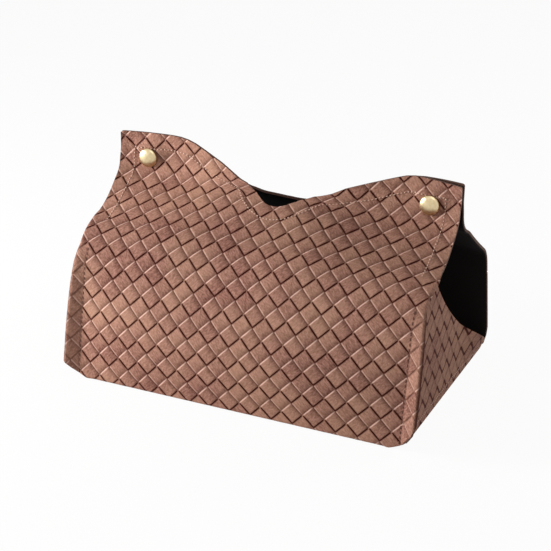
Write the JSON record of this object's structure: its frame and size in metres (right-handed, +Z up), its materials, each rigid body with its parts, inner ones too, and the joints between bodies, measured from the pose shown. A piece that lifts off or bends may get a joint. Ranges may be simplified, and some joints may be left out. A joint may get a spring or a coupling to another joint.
{
  "type": "tissue box holder",
  "caption": "Fold-over leather tissue box holder: a woven-embossed tray with sewn end wings, a roof flap at front and back, and upright ears closed by snap fasteners.",
  "frame": {"origin": "centre of the underside of the base, on the surface it stands on", "axes": "+X along the length towards the right end wing, +Y from the front wall to the back panel, +Z up"},
  "size_m": [0.2144, 0.1406, 0.131],
  "materials": {
    "leather": "embossed diagonal basket weave, satin",
    "lining": "smooth black, matt",
    "brass": "polished pale gold",
    "spring_steel": "drawn wire"
  },
  "bodies": {
    "tray": {"base_panel": "leather", "base_lining": "lining", "front_wall": "leather", "front_wall_lining": "lining", "left_wing": "leather", "left_wing_lining": "lining", "right_wing": "leather", "right_wing_lining": "lining"},
    "front_flap": {"front_flap": "leather", "front_flap_lining": "lining", "left_snap_cap": "brass", "right_snap_cap": "brass", "left_snap_socket": "brass", "right_snap_socket": "brass", "left_socket_spring": "spring_steel", "right_socket_spring": "spring_steel"},
    "back_wall": {"back_wall": "leather", "back_wall_lining": "lining"},
    "back_flap": {"back_flap": "leather", "back_flap_lining": "lining", "left_snap_stud": "brass", "right_snap_stud": "brass", "left_snap_post": "brass", "right_snap_post": "brass"}
  },
  "joints": [
    {"name": "front_flap_fold", "type": "hinge", "parent": "tray", "child": "front_flap", "pos_m": [0, -0.03287, 0.09186], "axis": [1, 0, 0], "range_deg": [0, 70]},
    {"name": "back_panel_fold", "type": "hinge", "parent": "tray", "child": "back_wall", "pos_m": [0, 0.06797, 0.00698], "axis": [-1, 0, 0], "range_deg": [0, 90]},
    {"name": "back_flap_fold", "type": "hinge", "parent": "back_wall", "child": "back_flap", "pos_m": [0, 0.05533, 0.06491], "axis": [-1, 0, 0], "range_deg": [0, 40]}
  ]
}
